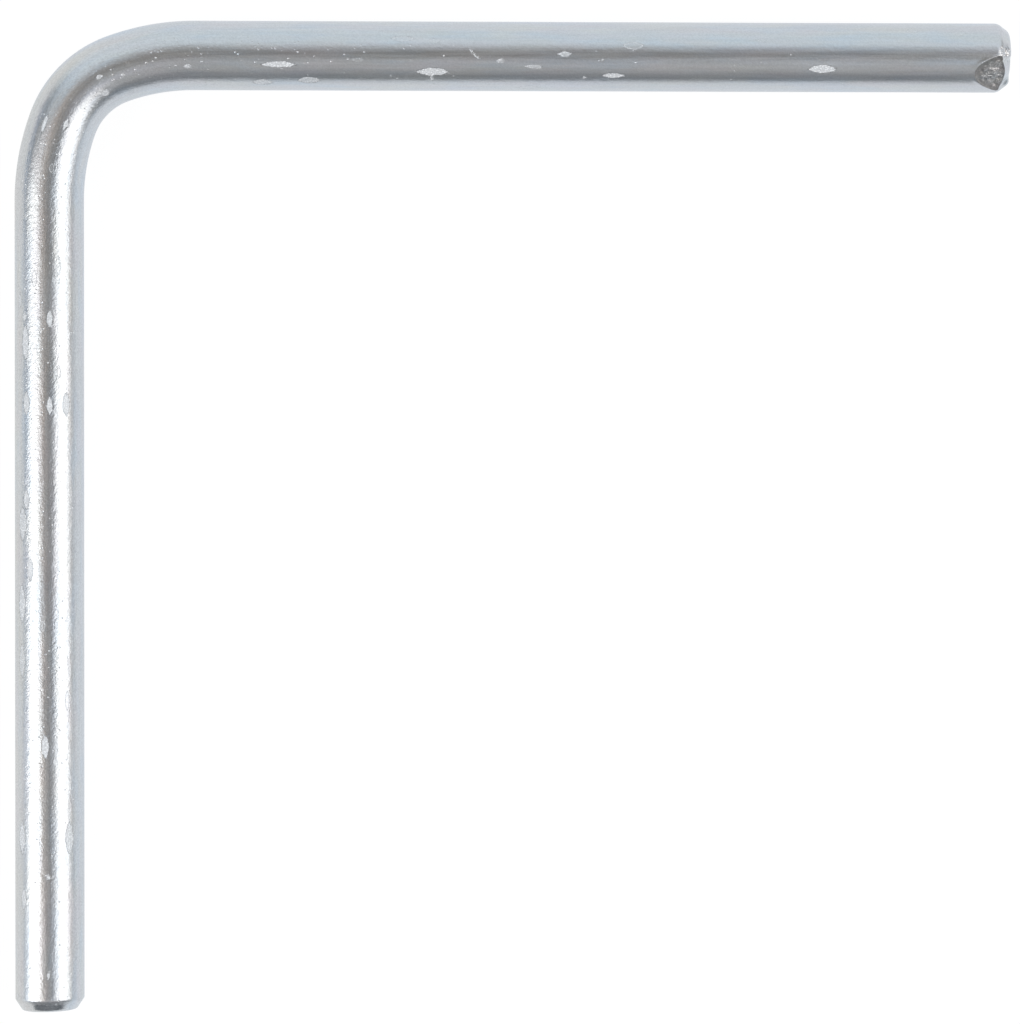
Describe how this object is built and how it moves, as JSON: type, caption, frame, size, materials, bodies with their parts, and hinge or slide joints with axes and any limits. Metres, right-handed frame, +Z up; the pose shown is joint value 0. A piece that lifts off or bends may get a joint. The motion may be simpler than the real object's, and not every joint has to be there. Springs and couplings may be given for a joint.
{
  "type": "locking pin",
  "caption": "Round steel rod bent to a right angle, chamfered at both ends, with a small slanted flat at one tip, bright zinc plated.",
  "frame": {"origin": "bottom centre of the box around the pin as it lies flat, so Z = 0 is the surface it lies on", "axes": "+X along the pin leg towards its flatted tip, -Y along the handle leg towards its end, +Z up from the surface it lies on"},
  "size_m": [0.115, 0.1145, 0.008],
  "materials": {
    "zinc_plated_steel": "bright zinc plating with a blue-white passivation, fine-grained, scuffed by barrel contact marks"
  },
  "bodies": {
    "root": {"locking_pin": "zinc_plated_steel"}
  },
  "joints": []
}
